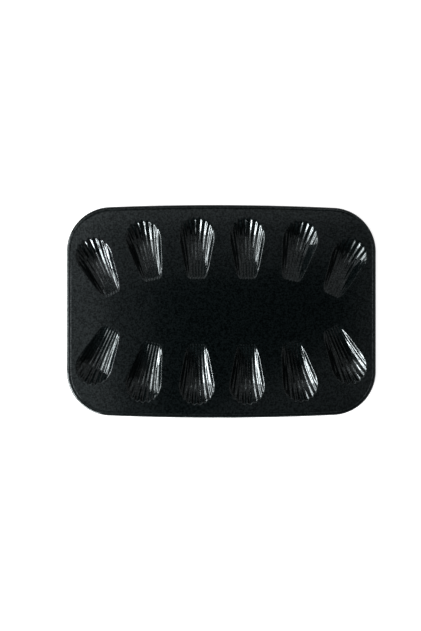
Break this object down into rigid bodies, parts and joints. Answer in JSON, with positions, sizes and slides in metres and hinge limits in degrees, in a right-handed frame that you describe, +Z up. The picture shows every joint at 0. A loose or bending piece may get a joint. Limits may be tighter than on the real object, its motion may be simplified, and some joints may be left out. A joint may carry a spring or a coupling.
{
  "type": "madeleine pan",
  "caption": "Shallow rectangular baking pan with rounded corners, a wired rolled rim and fluted shell-shaped moulds in two facing rows.",
  "frame": {"origin": "under the middle of the pan, on the surface that its moulds stand on", "axes": "+X along the long side, +Y towards the back row of moulds, +Z up out of the moulds"},
  "size_m": [0.385, 0.265, 0.0117],
  "materials": {
    "nonstick_coating": "satin black non-stick coating on steel sheet, finely grained",
    "wire_steel": "bare drawn steel wire inside the rolled rim"
  },
  "bodies": {
    "root": {"mould_back_1": "nonstick_coating", "mould_back_2": "nonstick_coating", "mould_back_3": "nonstick_coating", "mould_back_4": "nonstick_coating", "mould_back_5": "nonstick_coating", "mould_back_6": "nonstick_coating", "mould_front_1": "nonstick_coating", "mould_front_2": "nonstick_coating", "mould_front_3": "nonstick_coating", "mould_front_4": "nonstick_coating", "mould_front_5": "nonstick_coating", "mould_front_6": "nonstick_coating", "deck_plate": "nonstick_coating", "rolled_rim": "nonstick_coating", "rim_wire": "wire_steel"}
  },
  "joints": []
}
